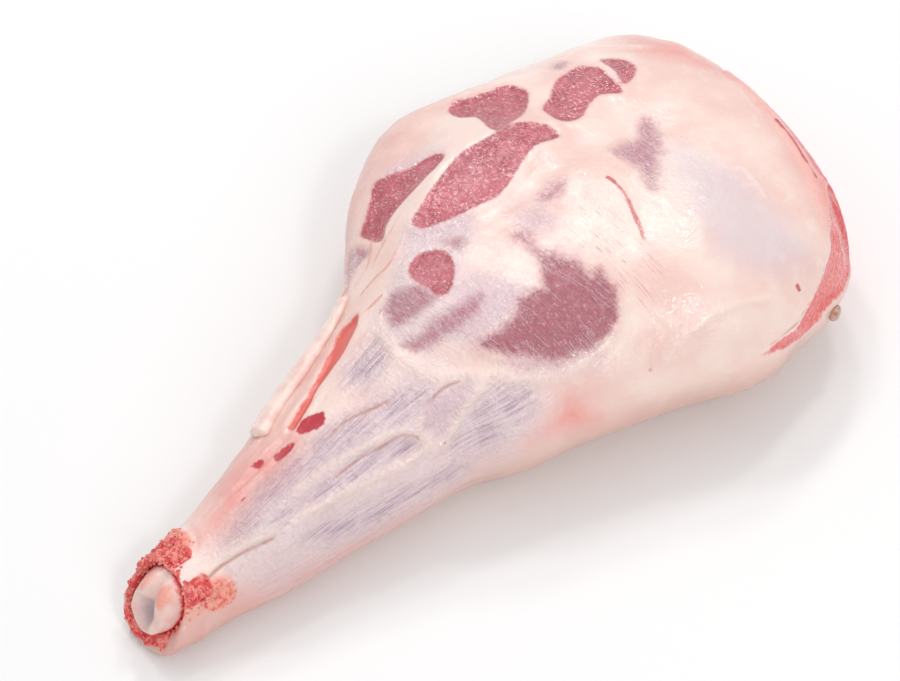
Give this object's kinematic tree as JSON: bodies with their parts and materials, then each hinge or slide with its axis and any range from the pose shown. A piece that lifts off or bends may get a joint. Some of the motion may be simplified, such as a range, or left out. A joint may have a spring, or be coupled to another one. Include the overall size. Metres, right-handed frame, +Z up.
{
  "type": "raw leg of lamb",
  "caption": "Whole raw leg of lamb on the bone, fat cap and red muscle showing through silverskin, shank bone bare at the hock, lying on its side.",
  "frame": {"origin": "on the resting surface, under the middle of the leg's box", "axes": "+X along the leg from the hock to the rump, +Z up out of the side that shows, +Y to the heel side"},
  "size_m": [0.384, 0.2128, 0.0922],
  "materials": {
    "meat": "raw lamb, moist and glossy: cream and pink fat, red muscle, lavender silverskin",
    "bone": "raw bone end under a wet film of cartilage"
  },
  "bodies": {
    "root": {"leg_meat": "meat", "shank_bone": "bone"}
  },
  "joints": []
}
